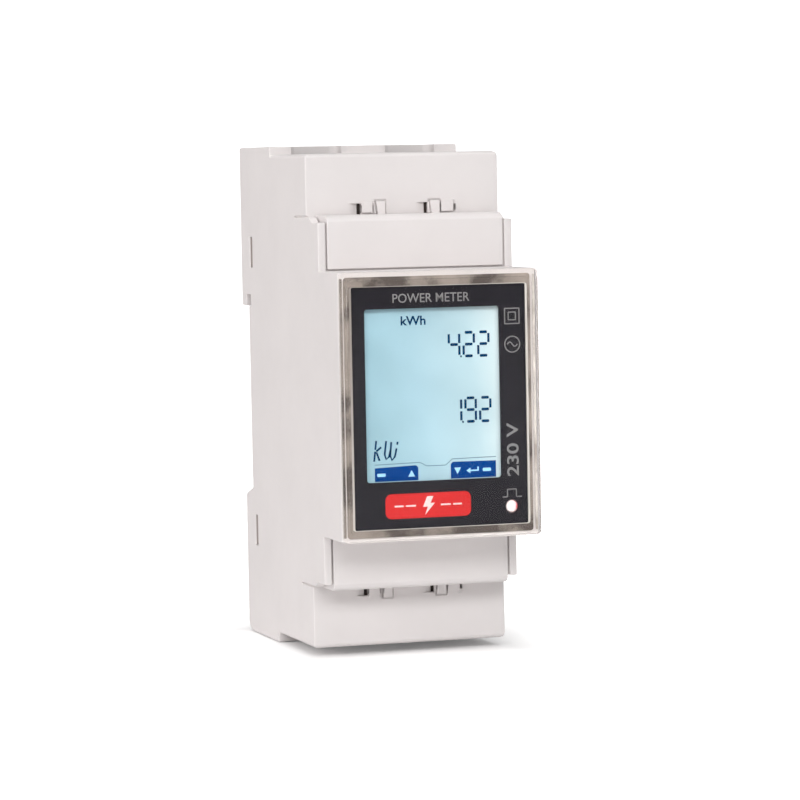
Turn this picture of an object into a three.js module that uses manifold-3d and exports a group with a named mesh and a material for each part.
// A two-module DIN-rail electric meter with an LCD, built as separate pieces. Millimetres.
// +X is right, +Y runs from the front to the rail, +Z is up. The origin is the centre of the rail seat.
import * as THREE from "three";
import { mergeVertices } from "three/addons/utils/BufferGeometryUtils.js";
import Module from "manifold-3d";

const wasm = await Module();
wasm.setup();

// ---------- driving dimensions ----------
const WIDTH = 35; // two 17.5 mm modules
const HALF = WIDTH / 2;
const WALL = 1.4; // side walls of the housing
const GAP = 0.3; // between pieces that touch on the real meter
const POLE_X = WIDTH / 4; // centre of each terminal, left and right

const NOSE_FRONT = -58.5; // front of the clear cover, 58.5 mm ahead of the rail seat
const SHELL_FRONT = -56.6; // front rim of the housing under the clear cover
const NECK_FRONT = -45.5; // front of the terminal covers
const BLOCK_FRONT = -38.5; // front of the terminal blocks
const RIB_REAR = -41.5; // the cheeks beside the terminal covers are level back to here
const STEP_Y = -16; // the base rim starts here
const BASE_REAR = 4.5; // rearmost plane

const NOSE_TOP = 22.7; // half heights above and below the centre line
const RIB_TOP = 31;
const COVER_TOP = 32.15;
const BLOCK_LOW = 31.9;
const CHEEK_END = BLOCK_LOW - 0.1; // the cheeks meet the terminal blocks here
const BLOCK_TOP = 42.75;
const BASE_TOP = 44.25;

const RAIL_HALF = 17.6; // the 35 mm top-hat rail with its clearance
const HOOK_TIP = 15.5; // lower edge of the fixed hook
const FLANGE_ROOM = 1.2; // room behind the seat for the rail's 1 mm flange
const UNDERCUT = 1.4; // the groove ahead of the seat that lets the rail tilt in
const SEAT_LOW = -15.8; // the seat ends here, above the latch jaw
const SEAT_STEP = 0.3; // relief of the land below the seat
const RAMP_REAR = BASE_REAR - 0.5; // the rear face slopes in below the rail, from RAMP_LOW up to RAMP_TOP
const RAMP_TOP = -RAIL_HALF - 1.3;
const RAMP_LOW = -RAIL_HALF - 2.3;
const HOOK_CHAMFER = 0.4;

const CHAMBER_FRONT = -36.9; // rear face of the wall that carries the terminal screws
const CHAMBER_REAR = -10.4; // front face of the wall behind the terminals
const CHAMBER_TOP = 41.25;
const DIVIDER = 0.7; // half thickness of the wall between the two terminals of one end
const REAR_OPEN = -2.4; // the rear cover fills the shell from here
const REAR_LOW = -40.7; // lower edge of the opening for the rear cover

const SCREW_Z = 27; // terminal screws, above and below the centre line
const SCREW_RADIUS = 2.5; // M5
const SCREW_PITCH = 0.8;
const CLAMP_TURNS = 7; // from wide open to tight
const CAGE_REST = 0.7; // room between the chamber's front wall and a clamp screwed tight
const CAGE_FRONT = CHAMBER_FRONT + CAGE_REST + CLAMP_TURNS * SCREW_PITCH;
const CAGE_REAR = -11;
const BAR_Y = -21.3; // middle of the copper bars' thickness
const BAR_THICK = 1.8;
const BAR_WIDTH = 7.2;

const ENTRY_WIDTH = 9.2; // cable entries
const ENTRY_FRONT = -27;
const ENTRY_REAR = -13;

const INNER_X = HALF - WALL; // inside face of the side walls
const BAY_Z = NOSE_TOP - WALL; // inside face of the nose walls
const CHANNEL_FLOOR = 1.5; // the rail latch slides on this plane of the rear cover
const CHANNEL_HALF = 6.9; // half width of its channel under the lips
const CHANNEL_MOUTH = 5.3; // half width between the lips
const LIP_Y = 3.3; // front face of the lips
const POST_Z = [-35.7, -34.2]; // post of the rear cover that the latch spring stands on
const SPRING_Z = [-33.9, -25.3];
const SPRING_Y = 3.1;
const BEHIND = 10; // cutting boxes run past the rear face to here
const BEYOND = 46; // and past the top and the bottom to here

// ---------- geometry helpers ----------
function outline(points) {
  return new THREE.Shape(points.map(([a, b]) => new THREE.Vector2(a, b)));
}

function roundedRect(x0, x1, y0, y1, radius) {
  const shape = new THREE.Shape();
  const quarter = Math.PI / 2;
  shape.moveTo(x0 + radius, y0);
  shape.lineTo(x1 - radius, y0);
  shape.absarc(x1 - radius, y0 + radius, radius, -quarter, 0);
  shape.absarc(x1 - radius, y1 - radius, radius, 0, quarter);
  shape.absarc(x0 + radius, y1 - radius, radius, quarter, 2 * quarter);
  shape.absarc(x0 + radius, y0 + radius, radius, 2 * quarter, 3 * quarter);
  return shape;
}

function extrude(shape, depth) {
  return new THREE.ExtrudeGeometry(shape, { depth, bevelEnabled: false, curveSegments: 5 });
}

// A prism whose section is drawn in (y, z) and runs from x0 to x1.
function prismX(shape, x0, x1) {
  const turn = new THREE.Matrix4().makeBasis(
    new THREE.Vector3(0, 1, 0),
    new THREE.Vector3(0, 0, 1),
    new THREE.Vector3(1, 0, 0),
  );
  return extrude(shape, x1 - x0).applyMatrix4(turn).translate(x0, 0, 0);
}

// A prism whose section is drawn in (x, z) and runs from y0 to y1.
function prismY(shape, y0, y1) {
  return extrude(shape, y1 - y0).rotateX(Math.PI / 2).translate(0, y1, 0);
}

// A prism whose section is drawn in (x, y) and runs from z0 to z1.
function prismZ(shape, z0, z1) {
  return extrude(shape, z1 - z0).translate(0, 0, z0);
}

function box(x0, x1, y0, y1, z0, z1) {
  const sides = new THREE.BoxGeometry(x1 - x0, y1 - y0, z1 - z0);
  return sides.translate((x0 + x1) / 2, (y0 + y1) / 2, (z0 + z1) / 2);
}

function rodY(radius, x, z, y0, y1, sides = 24) {
  const rod = new THREE.CylinderGeometry(radius, radius, y1 - y0, sides);
  return rod.translate(x, (y0 + y1) / 2, z);
}

function rodZ(radius, x, y, z0, z1, sides = 20) {
  const rod = new THREE.CylinderGeometry(radius, radius, z1 - z0, sides);
  return rod.rotateX(Math.PI / 2).translate(x, y, (z0 + z1) / 2);
}

// ---------- joining and cutting ----------
function solid(geometry) {
  const plain = geometry.clone();
  plain.deleteAttribute("normal");
  plain.deleteAttribute("uv");
  const merged = mergeVertices(plain, 1e-4);
  return new wasm.Manifold(
    new wasm.Mesh({
      numProp: 3,
      vertProperties: merged.attributes.position.array,
      triVerts: new Uint32Array(merged.index.array),
    }),
  );
}

function join(base, ...others) {
  return others.reduce((sum, other) => sum.add(solid(other)), solid(base));
}

function cut(body, ...tools) {
  return tools.reduce((rest, tool) => rest.subtract(solid(tool)), body);
}

function geometryOf(body) {
  const { numProp, numVert, vertProperties, triVerts } = body.getMesh();
  const positions = new Float32Array(numVert * 3);
  for (let i = 0; i < numVert; i++) {
    positions.set(vertProperties.subarray(i * numProp, i * numProp + 3), i * 3);
  }
  const geometry = new THREE.BufferGeometry();
  geometry.setAttribute("position", new THREE.BufferAttribute(positions, 3));
  geometry.setIndex(new THREE.BufferAttribute(triVerts, 1));
  return geometry;
}

// ---------- materials ----------
function finish(color, roughness, metalness = 0) {
  return new THREE.MeshStandardMaterial({ color, roughness, metalness });
}

const meter = new THREE.Group();
meter.name = "smart_electric_meter";

function place(name, shape, material) {
  const geometry = shape.isBufferGeometry ? shape : geometryOf(shape);
  geometry.computeVertexNormals();
  const mesh = new THREE.Mesh(geometry, material);
  mesh.name = name;
  meter.add(mesh);
  return mesh;
}

// Mirrors a geometry top to bottom and keeps its faces pointing out.
function flipped(geometry) {
  const turned = geometry.index ? geometry.toNonIndexed() : geometry.clone();
  turned.scale(1, 1, -1);
  const places = turned.attributes.position.array;
  for (let i = 0; i < places.length; i += 9) {
    for (let axis = 0; axis < 3; axis++) {
      const second = places[i + 3 + axis];
      places[i + 3 + axis] = places[i + 6 + axis];
      places[i + 6 + axis] = second;
    }
  }
  return turned;
}

// The same tool at the upper and the lower end.
function bothEnds(geometries) {
  return geometries.flatMap((geometry) => [geometry, flipped(geometry)]);
}

const SIDES = [-1, 1];

// ---------- housing ----------
// The side silhouette from the nose to the rear, with the step, the rail recess and the hook.
function housingProfile() {
  const slope = NECK_FRONT + 5.3; // the cheek beside the cover rises to the block between RIB_REAR and here
  const edge = 0.5; // chamfer of the upper rear corner
  return outline([
    [SHELL_FRONT, -NOSE_TOP],
    [NECK_FRONT, -NOSE_TOP],
    [NECK_FRONT, -RIB_TOP],
    [RIB_REAR, -RIB_TOP],
    [slope, -CHEEK_END],
    [BLOCK_FRONT, -CHEEK_END],
    [BLOCK_FRONT, -BLOCK_TOP],
    [STEP_Y, -BLOCK_TOP],
    [STEP_Y, -BASE_TOP],
    [BASE_REAR - 2.4, -BASE_TOP],
    [BASE_REAR - 0.7, -BASE_TOP + 0.7],
    [BASE_REAR, -BASE_TOP + 2],
    [BASE_REAR, RAMP_LOW],
    [RAMP_REAR, RAMP_TOP],
    [-SEAT_STEP, -RAIL_HALF],
    [-SEAT_STEP, SEAT_LOW],
    [0, SEAT_LOW],
    [0, HOOK_TIP],
    [-UNDERCUT, HOOK_TIP],
    [-UNDERCUT, RAIL_HALF],
    [FLANGE_ROOM, RAIL_HALF],
    [FLANGE_ROOM, HOOK_TIP],
    [BASE_REAR - HOOK_CHAMFER, HOOK_TIP],
    [BASE_REAR, HOOK_TIP + HOOK_CHAMFER],
    [BASE_REAR, BASE_TOP - edge],
    [BASE_REAR - edge, BASE_TOP],
    [STEP_Y, BASE_TOP],
    [STEP_Y, BLOCK_TOP],
    [BLOCK_FRONT, BLOCK_TOP],
    [BLOCK_FRONT, CHEEK_END],
    [slope, CHEEK_END],
    [RIB_REAR, RIB_TOP],
    [NECK_FRONT, RIB_TOP],
    [NECK_FRONT, NOSE_TOP],
    [SHELL_FRONT, NOSE_TOP],
  ]);
}

// The two sealing points of one end. A scoop slopes in from the left to a slot at its mouth.
// The wire runs on from the slot through the tongue of the terminal cover and through the raised boss.
const SEAL_POINTS = [
  { scoop: -10, mouth: -7.5, boss: [-7.5, -5.2], tongue: [-4.9, -3.3] },
  { scoop: 2.4, mouth: 4.7, boss: [6.9, 9.5], tongue: [4.9, 6.6] },
];
const SEAL_Z = 33.1; // height of the wire holes
const SEAL_TOP = 34.4; // the bosses and the tongues end here
const BOSS_FRONT = BLOCK_FRONT - 0.5;
const TONGUE_DEPTH = 0.9; // the tongues reach this far into the pockets of the block
const PAD_LOW = 31.4; // the front wall is thicker between these two heights, behind the sealing points
const PAD_HIGH = 35;
const PAD_REAR = -35;

function boss(x0, x1) {
  const chamfer = 0.5;
  const root = BLOCK_FRONT + 0.5;
  const section = outline([
    [x0, BOSS_FRONT],
    [x1 - chamfer, BOSS_FRONT],
    [x1, BOSS_FRONT + chamfer],
    [x1, root],
    [x0, root],
  ]);
  return prismZ(section, COVER_TOP + GAP, SEAL_TOP);
}

function scoop({ scoop: start, mouth }) {
  const depth = 2.2;
  const slope = 0.8; // depth of the slope where it drops into the slot
  const slot = mouth - 0.6;
  const ahead = BLOCK_FRONT - 0.2;
  const section = outline([
    [start, ahead],
    [mouth, ahead],
    [mouth, BLOCK_FRONT + depth],
    [slot, BLOCK_FRONT + depth],
    [slot, BLOCK_FRONT + slope],
    [start, BLOCK_FRONT],
  ]);
  const half = 0.95; // half height
  return prismZ(section, SEAL_Z - half, SEAL_Z + half);
}

// What is added to one end: the sealing pad, the divider between the screw heads and the bosses.
function endJoins() {
  const lap = 0.5; // each addition runs this far into the walls that it grows from
  const sidesIn = INNER_X + lap;
  return [
    box(-sidesIn, sidesIn, CHAMBER_FRONT - lap, PAD_REAR, PAD_LOW, PAD_HIGH),
    box(-DIVIDER, DIVIDER, NECK_FRONT + 2, BLOCK_FRONT + lap, NOSE_TOP - lap, RIB_TOP - 0.8),
    ...SEAL_POINTS.map((point) => boss(...point.boss)),
  ];
}

function chamber(side) {
  const near = side > 0 ? DIVIDER : -INNER_X;
  const far = side > 0 ? INNER_X : -DIVIDER;
  return box(near, far, CHAMBER_FRONT, CHAMBER_REAR, NOSE_TOP, CHAMBER_TOP);
}

function cableEntry(side) {
  const half = ENTRY_WIDTH / 2;
  const x = side * POLE_X;
  const corner = 1.5;
  const overlap = 1.25; // how far the entry runs down into the chamber
  const mouth = roundedRect(x - half, x + half, ENTRY_FRONT, ENTRY_REAR, corner);
  return prismZ(mouth, CHAMBER_TOP - overlap, BEYOND);
}

function barSlot(side) {
  const clear = 0.4; // room round the bar
  const half = BAR_WIDTH / 2 + clear;
  const room = BAR_THICK / 2 + clear;
  const x = side * POLE_X;
  return box(x - half, x + half, BAR_Y - room, BAR_Y + room, BAY_Z - 1, NOSE_TOP + 1);
}

// A box between two planes on one side wall, whichever side it is.
function wallBox(side, inner, outer, y0, y1, z0, z1) {
  const [x0, x1] = side > 0 ? [inner, outer] : [-outer, -inner];
  return box(x0, x1, y0, y1, z0, z1);
}

// The slot in a side wall that takes the barb of the rear cover.
const SNAP_Y = [-3.1, -1.4];
const SNAP_Z = [22.5, 28.1];

function snapSlot(side) {
  return wallBox(side, INNER_X - 0.5, HALF + 0.5, ...SNAP_Y, ...SNAP_Z);
}

// The shallow line on the side where the block meets the neck.
function sideGroove(side) {
  const depth = 0.4;
  const width = 0.25;
  const rear = -31.4;
  return wallBox(side, HALF - depth, HALF + 0.5, BLOCK_FRONT - 0.2, rear, CHEEK_END, CHEEK_END + width);
}

function tonguePocket({ tongue: [x0, x1] }) {
  const rear = BLOCK_FRONT + TONGUE_DEPTH + GAP;
  return box(x0 - GAP, x1 + GAP, BLOCK_FRONT - 1, rear, BLOCK_LOW - 1, SEAL_TOP + GAP);
}

function sealHole({ mouth, boss: [, end] }) {
  const half = 0.6;
  const [front, rear] = [BLOCK_FRONT - 0.3, BLOCK_FRONT + 1.2];
  return box(mouth - 0.1, end + 0.2, front, rear, SEAL_Z - half, SEAL_Z + half);
}

// The recess for the terminal cover and the two terminal chambers of one end.
function endCuts() {
  const coverRecess = box(-INNER_X, INNER_X, NECK_FRONT - 1, BLOCK_FRONT, NOSE_TOP, BLOCK_LOW + 1);
  return [coverRecess, ...SIDES.map(chamber)];
}

function holeCuts() {
  const perSide = (side) => [
    cableEntry(side),
    barSlot(side),
    snapSlot(side),
    sideGroove(side),
    rodY(SCREW_RADIUS + 0.3, side * POLE_X, SCREW_Z, BLOCK_FRONT - 1, CHAMBER_FRONT + 1),
  ];
  const seals = SEAL_POINTS.flatMap((point) => [scoop(point), tonguePocket(point), sealHole(point)]);
  return SIDES.flatMap(perSide).concat(seals);
}

function housing() {
  const shell = solid(prismX(housingProfile(), -HALF, HALF));
  const rearBays = CHAMBER_REAR + WALL;
  const hollow = cut(
    shell,
    box(-INNER_X, INNER_X, NOSE_FRONT - 1, BEHIND, -BAY_Z, BAY_Z),
    ...bothEnds(endCuts()),
    box(-INNER_X, INNER_X, rearBays, BEHIND, NOSE_TOP, BLOCK_TOP),
    box(-INNER_X, INNER_X, rearBays, BEHIND, REAR_LOW, -NOSE_TOP),
    box(-INNER_X, INNER_X, REAR_OPEN, BEHIND, -NOSE_TOP - 1, NOSE_TOP + 1),
  );
  const joined = bothEnds(endJoins()).reduce((sum, piece) => sum.add(solid(piece)), hollow);
  const gateHalf = CHANNEL_HALF + GAP;
  const latchGate = box(-gateHalf, gateHalf, CHANNEL_FLOOR - GAP, BEHIND, -BEYOND, REAR_LOW + 1);
  const commHalf = 5;
  const commSlot = box(-commHalf, commHalf, -6.2, -3.2, BLOCK_TOP - 1, BEYOND);
  return cut(joined, ...bothEnds(holeCuts()), latchGate, commSlot);
}

// ---------- rear cover ----------
function rearCoverProfile() {
  const inside = 2; // wall thickness
  const grooveWall = -UNDERCUT - inside + 0.2;
  return outline([
    [BASE_REAR, BLOCK_TOP - GAP],
    [BASE_REAR, HOOK_TIP + HOOK_CHAMFER],
    [BASE_REAR - HOOK_CHAMFER, HOOK_TIP],
    [FLANGE_ROOM, HOOK_TIP],
    [FLANGE_ROOM, RAIL_HALF],
    [-UNDERCUT, RAIL_HALF],
    [-UNDERCUT, HOOK_TIP],
    [0, HOOK_TIP],
    [0, SEAT_LOW],
    [-SEAT_STEP, SEAT_LOW],
    [-SEAT_STEP, -RAIL_HALF],
    [RAMP_REAR, RAMP_TOP],
    [BASE_REAR, RAMP_LOW],
    [BASE_REAR, REAR_LOW + GAP],
    [BASE_REAR - inside, REAR_LOW + GAP],
    [BASE_REAR - inside, -RAIL_HALF - 3],
    [-inside, -RAIL_HALF - 1.6],
    [-inside, HOOK_TIP - 1.4],
    [grooveWall, HOOK_TIP - 1.4],
    [grooveWall, RAIL_HALF + 1.8],
    [BASE_REAR - inside, RAIL_HALF + 1.8],
    [BASE_REAR - inside, BLOCK_TOP - GAP],
  ]);
}

// A springy arm whose barb catches in the snap slot of the side wall.
function snapArm(side) {
  const outer = INNER_X - GAP;
  const thick = 1.2;
  const z = [SNAP_Z[0] + 0.7, SNAP_Z[1] - 0.7];
  return [
    wallBox(side, outer - thick, outer, SNAP_Y[0] - 0.5, BASE_REAR - 1, ...z),
    wallBox(side, outer - 0.1, HALF - 0.5, SNAP_Y[0] + GAP, SNAP_Y[1] - GAP, ...z),
  ];
}

function rearCover() {
  const half = INNER_X - GAP;
  const guideHalf = CHANNEL_HALF + 1.7; // the thick part that the latch channel is cut into
  const postHalf = 1.6;
  const plate = join(
    prismX(rearCoverProfile(), -half, half),
    ...bothEnds(SIDES.flatMap(snapArm)),
    box(-guideHalf, guideHalf, 0, BASE_REAR, REAR_LOW + GAP, RAMP_TOP - 0.1),
  );
  const channelLow = REAR_LOW - 1;
  const channelHigh = SEAT_LOW + 0.8;
  const channelled = cut(
    plate,
    box(-CHANNEL_HALF, CHANNEL_HALF, CHANNEL_FLOOR, LIP_Y, channelLow, channelHigh),
    box(-CHANNEL_MOUTH, CHANNEL_MOUTH, CHANNEL_FLOOR, BEHIND, channelLow, channelHigh),
  );
  const springPost = box(-postHalf, postHalf, CHANNEL_FLOOR - 0.5, BASE_REAR - GAP, ...POST_Z);
  return channelled.add(solid(springPost));
}

// ---------- rail latch and its spring ----------
const LATCH_LOW = -43.5;
const LATCH_FRONT = CHANNEL_FLOOR + GAP;
const LATCH_REAR = BASE_REAR - 0.1;

function railLatch() {
  const jawTop = -RAIL_HALF + 1.5; // the jaw reaches this far behind the rail
  const halfBar = CHANNEL_MOUTH - GAP;
  const halfFlange = CHANNEL_HALF - GAP;
  const gripFloor = LATCH_REAR - 0.6;
  const bar = prismX(
    outline([
      [LATCH_FRONT, LATCH_LOW],
      [LATCH_REAR, LATCH_LOW],
      [LATCH_REAR, -RAIL_HALF - 0.4],
      [LATCH_FRONT + 0.6, jawTop],
      [LATCH_FRONT, jawTop],
    ]),
    -halfBar,
    halfBar,
  );
  const flange = box(-halfFlange, halfFlange, LATCH_FRONT, LIP_Y - GAP, LATCH_LOW + 4, -20.5);
  const windowHalf = 2.1;
  const toolHalf = 2.4;
  const gripHalf = 3.6;
  const springWindow = box(-windowHalf, windowHalf, 0, BEHIND, POST_Z[0] - GAP, SPRING_Z[1] + GAP);
  const toolSlot = box(-toolHalf, toolHalf, 0, BEHIND, LATCH_LOW + 1.2, LATCH_LOW + 2.8);
  const grooves = [-23.5, -22].map((low) => box(-gripHalf, gripHalf, gripFloor, BEHIND, low, low + 0.7));
  return cut(join(bar, flange), springWindow, toolSlot, ...grooves);
}

class SpringCurve extends THREE.Curve {
  constructor(radius, turns, x, y, z0, z1) {
    super();
    Object.assign(this, { radius, turns, x, y, z0, z1 });
  }
  getPoint(t, target = new THREE.Vector3()) {
    const angle = 2 * Math.PI * this.turns * t;
    const x = this.x + this.radius * Math.cos(angle);
    const y = this.y + this.radius * Math.sin(angle);
    return target.set(x, y, this.z0 + (this.z1 - this.z0) * t);
  }
}

function latchSpring() {
  const wire = 0.25;
  const coil = 0.95;
  const turns = 8;
  const path = new SpringCurve(coil, turns, 0, SPRING_Y, SPRING_Z[0] + wire, SPRING_Z[1] - wire);
  const section = new THREE.Shape().absarc(0, 0, wire, 0, 2 * Math.PI);
  return new THREE.ExtrudeGeometry(section, {
    steps: turns * 12,
    extrudePath: path,
    curveSegments: 3,
    bevelEnabled: false,
  });
}

// ---------- terminal covers ----------
function coverProfile() {
  const low = NOSE_TOP + GAP;
  const thick = 1.4;
  const round = 1; // size of the rounded front edge
  const back = BLOCK_FRONT - GAP;
  return outline([
    [NECK_FRONT, low],
    [NECK_FRONT + thick, low],
    [NECK_FRONT + thick, COVER_TOP - thick],
    [back, COVER_TOP - thick],
    [back, COVER_TOP],
    [NECK_FRONT + round, COVER_TOP],
    [NECK_FRONT + round * 0.35, COVER_TOP - round * 0.4],
    [NECK_FRONT, COVER_TOP - round * 1.05],
  ]);
}

// A tongue stands up from the cover into its pocket in the block, with a slanted left edge.
function coverTongue(x0, x1) {
  const low = BLOCK_LOW - 0.7;
  const foot = x0 + 0.4; // left edge at the foot
  const slanted = outline([
    [foot, low],
    [x1, low],
    [x1, SEAL_TOP],
    [x0, SEAL_TOP],
  ]);
  const root = box(foot, x1, BLOCK_FRONT - 1, BOSS_FRONT + 0.2, low, BLOCK_LOW + 0.2);
  return geometryOf(join(prismY(slanted, BOSS_FRONT, BLOCK_FRONT + TONGUE_DEPTH), root));
}

function terminalCover() {
  const half = INNER_X - GAP;
  const back = BLOCK_FRONT - GAP;
  const tongues = SEAL_POINTS.map(({ tongue }) => coverTongue(...tongue));
  const clips = SIDES.map((side) => wallBox(side, half - 1.4, half, NECK_FRONT + 1, back - 0.2, 24.2, 29));
  const body = join(prismX(coverProfile(), -half, half), ...tongues, ...clips);
  const wireHole = box(-6, 8, BLOCK_FRONT + 0.1, BLOCK_FRONT + 0.6, SEAL_Z - 0.5, SEAL_Z + 0.5);
  return cut(body, wireHole);
}

// ---------- nose: clear cover, label, display ----------
const LABEL = { x0: -15.5, x1: 15.7, z0: -21, z1: 20.5 };
const WINDOW = { x0: -12.9, x1: 11, z0: -12.8, z1: 16.4 };
const GLASS = { x0: -13.7, x1: 11.9, z0: -13.9, z1: 17.5 };
const LED_X = 12.84;
const LED_Z = -17.82;
const LIGHT_RADIUS = 1;
const COVER_REAR = -56.9; // layers of the nose, as planes or as front and rear faces
const LABEL_Y = [-56.5, -56.1];
const FILM_Y = [-55.8, -55.6];
const LCD_Y = [-55.3, -53.7];
const GUIDE_Y = [-53.4, -51.6];
const FRAME_Y = [-55.8, -50.6];
const DISPLAY_BOARD_Y = [-50.3, -49.1];
const FRAME_X = 15.6; // half width and half height of the display frame
const FRAME_Z = 20.9;

// A front and a rear plane a little outside a layer, for a cut right through it.
function through([front, rear]) {
  return [front - 1, rear + 1];
}

function clearFrontCover() {
  const thick = 1.2;
  const plate = prismY(roundedRect(-HALF, HALF, -NOSE_TOP, NOSE_TOP, 0.8), NOSE_FRONT, COVER_REAR);
  const pocket = roundedRect(-INNER_X, INNER_X, -BAY_Z, BAY_Z, 0.6);
  return cut(solid(plate), prismY(pocket, NOSE_FRONT + thick, COVER_REAR + 1));
}

function labelPlate() {
  const sheet = prismY(roundedRect(LABEL.x0, LABEL.x1, LABEL.z0, LABEL.z1, 0.4), ...LABEL_Y);
  const window = roundedRect(WINDOW.x0, WINDOW.x1, WINDOW.z0, WINDOW.z1, 0.5);
  const lightHole = rodY(LIGHT_RADIUS + GAP, LED_X, LED_Z, ...through(LABEL_Y));
  return cut(solid(sheet), prismY(window, ...through(LABEL_Y)), lightHole);
}

function displaySheet([front, rear], radius) {
  return prismY(roundedRect(GLASS.x0, GLASS.x1, GLASS.z0, GLASS.z1, radius), front, rear);
}

function displayFrame() {
  const frame = prismY(roundedRect(-FRAME_X, FRAME_X, -FRAME_Z, FRAME_Z, 1), ...FRAME_Y);
  const [front, rear] = through(FRAME_Y);
  const pocket = box(GLASS.x0 - GAP, GLASS.x1 + GAP, front, rear, GLASS.z0 - GAP, GLASS.z1 + GAP);
  return cut(solid(frame), pocket, rodY(LIGHT_RADIUS + 0.5, LED_X, LED_Z, front, rear));
}

function placeDisplay() {
  place("clear_front_cover", clearFrontCover(), finish(0xf2f0ee, 0.08));
  place("label_plate", labelPlate(), finish(0x25272d, 0.45));
  place("touch_film", displaySheet(FILM_Y, 0.8), finish(0xdfe6ea, 0.1));
  place("lcd_panel", displaySheet(LCD_Y, 0.4), finish(0xa9d3e6, 0.15));
  place("backlight_guide", displaySheet(GUIDE_Y, 0.4), finish(0xf4f8fa, 0.3));
  place("display_frame", displayFrame(), finish(0xd8d6d2, 0.6));
  const ledHalf = 0.9;
  const ledFront = GUIDE_Y[1];
  const pipe = rodY(LIGHT_RADIUS, LED_X, LED_Z, LABEL_Y[0], ledFront - GAP);
  place("light_pipe", pipe, finish(0xf6f2f2, 0.15));
  const [left, right] = [LED_X - ledHalf, LED_X + ledHalf];
  const led = box(left, right, ledFront, FRAME_Y[1], LED_Z - ledHalf, LED_Z + ledHalf);
  place("pulse_led", led, finish(0xf0e9d8, 0.3));
}

// ---------- circuit boards ----------
const BOARD_FRONT = -33.6; // component side of the main board
const BOARD_REAR = -32;
const POWER_FRONT = -4.1; // component side of the power board
const POWER_REAR = -2.5;
const BOARD_HALF = 15.6;
const CHIP_THICK = 1.5;

function board(y0, y1, z0, z1) {
  return prismY(roundedRect(-BOARD_HALF, BOARD_HALF, z0, z1, 0.6), y0, y1);
}

// A plastic strip with a row of square pins that run through it along Y.
function pinStrip(x, z, pins, body, reach) {
  const pitch = 2.54;
  const half = (pins * pitch) / 2;
  const depth = 1.25; // half height of the strip
  const pin = 0.32; // half width of a pin
  const strip = box(x - half, x + half, ...body, z - depth, z + depth);
  const pinBoxes = Array.from({ length: pins }, (_, i) => {
    const pinX = x - half + pitch * (i + 0.5);
    return box(pinX - pin, pinX + pin, ...reach, z - pin, z + pin);
  });
  return join(strip, ...pinBoxes);
}

// A chip on the main board, with its legs drawn as a thin skirt on two sides.
function chip(x, z, width, height, thick) {
  const rear = BOARD_FRONT - GAP;
  const half = width / 2;
  const reach = half + 0.8;
  const leg = 0.2; // half width of a leg, and half its thickness
  const body = box(x - half, x + half, rear - thick, rear - 0.1, z - height / 2, z + height / 2);
  const legs = Array.from({ length: 5 }, (_, i) => {
    const legZ = z + (i - 2) * (height / 5.5);
    return box(x - reach, x + reach, rear - 2 * leg, rear, legZ - leg, legZ + leg);
  });
  return join(body, ...legs);
}

function canCapacitor(x, z) {
  const radius = 4;
  const length = 11.5;
  const crimp = length - 1.5; // the narrow ring near the leads
  const front = POWER_FRONT - GAP - length;
  const profile = [
    [0, 0],
    [radius - 0.4, 0],
    [radius, 0.4],
    [radius, crimp - 0.4],
    [radius - 0.3, crimp],
    [radius, crimp + 0.4],
    [radius, length],
    [0, length],
  ].map(([r, h]) => new THREE.Vector2(r, h));
  return new THREE.LatheGeometry(profile, 24).translate(x, front, z);
}

function transformer(x, z) {
  const rear = POWER_FRONT - GAP;
  const height = 11;
  const foot = 2.6; // thickness of the bobbin's foot
  const tall = 3.4; // half height of the windows
  const core = box(x - 6, x + 6, rear - height, rear - foot + 0.2, z - 5.5, z + 5.5);
  const windowed = cut(
    solid(core),
    box(x - 4.2, x - 2.4, rear - height - 1, rear, z - tall, z + tall),
    box(x + 2.4, x + 4.2, rear - height - 1, rear, z - tall, z + tall),
  );
  return windowed.add(solid(box(x - 5, x + 5, rear - foot, rear, z - 5, z + 5)));
}

function varistor(x, z) {
  const disc = rodZ(4.6, x, POWER_FRONT - 5.6, z - 2, z + 2, 28);
  const leg = 0.35; // half width of a leg
  const legs = [x - 2.5, x + 2.5].map((legX) =>
    box(legX - leg, legX + leg, POWER_FRONT - 5, POWER_FRONT - GAP, z - leg, z + leg),
  );
  return join(disc, ...legs);
}

function commTerminal() {
  const top = 42.3;
  const body = solid(box(-5.2, 5.2, -8.2, -0.6, 33.2, top));
  const holes = [-3.4, 0, 3.4].map((x) => rodZ(1.1, x, -4.7, 35, top + 1, 16));
  return cut(body, ...holes);
}

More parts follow.
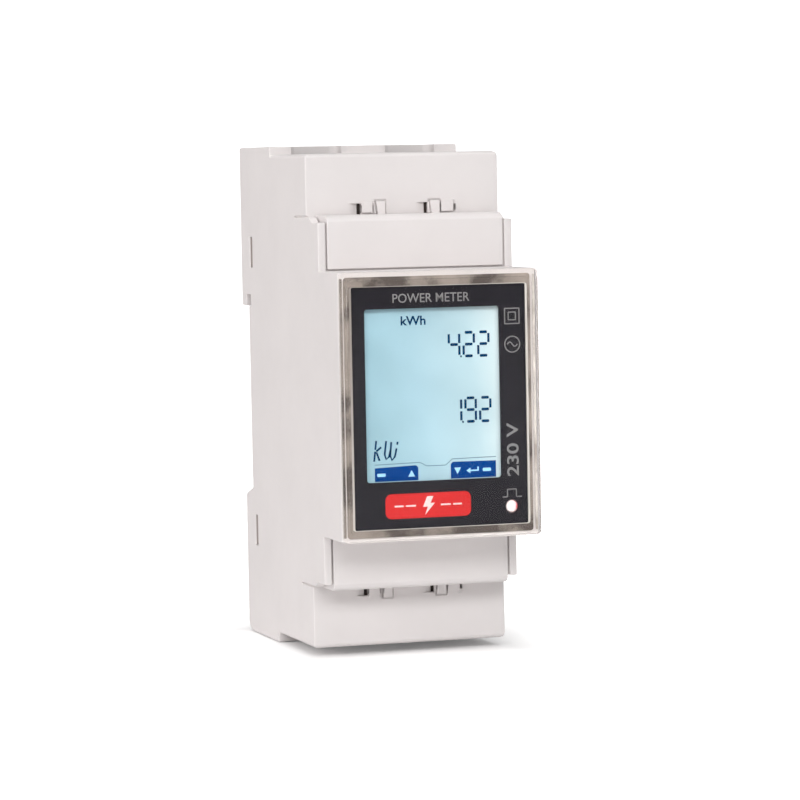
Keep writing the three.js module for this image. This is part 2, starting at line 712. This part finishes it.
function placeElectronics() {
  const green = finish(0x2f6b45, 0.5);
  const black = finish(0x1c1c1f, 0.55);
  place("display_board", board(...DISPLAY_BOARD_Y, -20.6, 20.6), green);
  place("display_header", pinStrip(0, -16, 5, [-46, -37], [-48.8, BOARD_FRONT - GAP]), black);
  place("main_board", board(BOARD_FRONT, BOARD_REAR, -20.8, 20.8), green);
  place("metering_chip", chip(-8, 8, 5.4, 8.6, CHIP_THICK), black);
  place("processor_chip", chip(6, 6, 10, 10, CHIP_THICK), black);
  place("optocoupler", chip(9, -8, 6.2, 4.8, 3.4), finish(0xe4e2da, 0.5));
  place("board_link", pinStrip(0, 11, 3, [-24, -12], [BOARD_REAR + GAP, POWER_FRONT - GAP]), black);
  place("power_board", board(POWER_FRONT, POWER_REAR, -18.5, 13.6), green);
  place("film_capacitor", box(-15.2, -2.6, -15.6, POWER_FRONT - GAP, -16, -9.4), finish(0x8a2f2a, 0.5));
  place("transformer", transformer(-8.6, 3), finish(0x3a3a3c, 0.6));
  [8, -2].forEach((z, i) => {
    place(`electrolytic_capacitor_${i + 1}`, canCapacitor(9.5, z), finish(0x27303f, 0.35));
  });
  place("varistor", varistor(9.5, -12), finish(0x2f63a8, 0.5));
  place("comm_terminal", commTerminal(), finish(0x3e7d4c, 0.55));
}

// ---------- copper bars and terminals ----------
const BAR_FACES = [BAR_Y - BAR_THICK / 2, BAR_Y + BAR_THICK / 2];

function bar(side, z0, z1) {
  const x = side * POLE_X;
  const half = BAR_WIDTH / 2;
  return box(x - half, x + half, ...BAR_FACES, z0, z1);
}

// The clamp is a steel box that slides on its screw and lifts the cable against the bar.
function clampCage(x, z) {
  const half = 5.1;
  const room = half - 1.1; // half width of the opening for the cable
  const body = solid(box(x - half, x + half, CAGE_FRONT, CAGE_REAR, z - 3.9, z + 3.9));
  return cut(
    body,
    box(x - room, x + room, CAGE_FRONT + 2.2, CAGE_REAR - 1.4, z - 5, z + 5),
    rodY(SCREW_RADIUS + 0.1, x, z, CAGE_FRONT - 1, CAGE_FRONT + 3),
  );
}

// A captive clamp screw with a combined slot and cross recess.
function terminalScrew(x, z) {
  const seat = BLOCK_FRONT - GAP;
  const tip = -23;
  const top = seat - 2.3;
  const drive = top + 1.5; // floor of the recess
  const slot = 0.45; // half width of its arms
  const head = rodY(3.6, 0, 0, top, seat, 28);
  const shank = rodY(SCREW_RADIUS, 0, 0, seat - 0.1, tip);
  const slots = [
    box(-2.9, 2.9, top - 1, drive, -slot, slot),
    box(-slot, slot, top - 1, drive, -2.1, 2.1),
  ];
  return geometryOf(cut(join(head, shank), ...slots)).translate(x, 0, z);
}

function placeTerminals() {
  const copper = finish(0xb87348, 0.35, 1);
  const steel = finish(0xb9bcc0, 0.35, 1);
  const shuntHalf = 5;
  const barEnd = 31;
  place("phase_bar_upper", bar(-1, shuntHalf + GAP, barEnd), copper);
  place("phase_bar_lower", bar(-1, -barEnd, -shuntHalf - GAP), copper);
  place("neutral_bar", bar(1, -barEnd, barEnd), copper);
  const shuntSide = 2.8; // the shunt is narrower than the bars
  const shunt = box(-POLE_X - shuntSide, -POLE_X + shuntSide, ...BAR_FACES, -shuntHalf, shuntHalf);
  place("current_shunt", shunt, finish(0x8d8478, 0.45, 1));
  for (const [end, up] of [["upper", 1], ["lower", -1]]) {
    for (const [pole, side] of [["phase", -1], ["neutral", 1]]) {
      place(`${end}_${pole}_clamp`, clampCage(side * POLE_X, up * SCREW_Z), steel);
      place(`${end}_${pole}_screw`, terminalScrew(side * POLE_X, up * SCREW_Z), steel);
    }
  }
}

// ---------- assembly ----------
const shellGrey = finish(0xe2dedd, 0.55);
place("housing", housing(), shellGrey);
place("rear_cover", rearCover(), shellGrey);
place("upper_terminal_cover", terminalCover(), shellGrey);
place("lower_terminal_cover", flipped(geometryOf(terminalCover())), shellGrey);
place("rail_latch", railLatch(), finish(0x3a3b3e, 0.5));
place("latch_spring", latchSpring(), finish(0xb5b8bc, 0.3, 1));
placeDisplay();
placeElectronics();
placeTerminals();

export default meter;
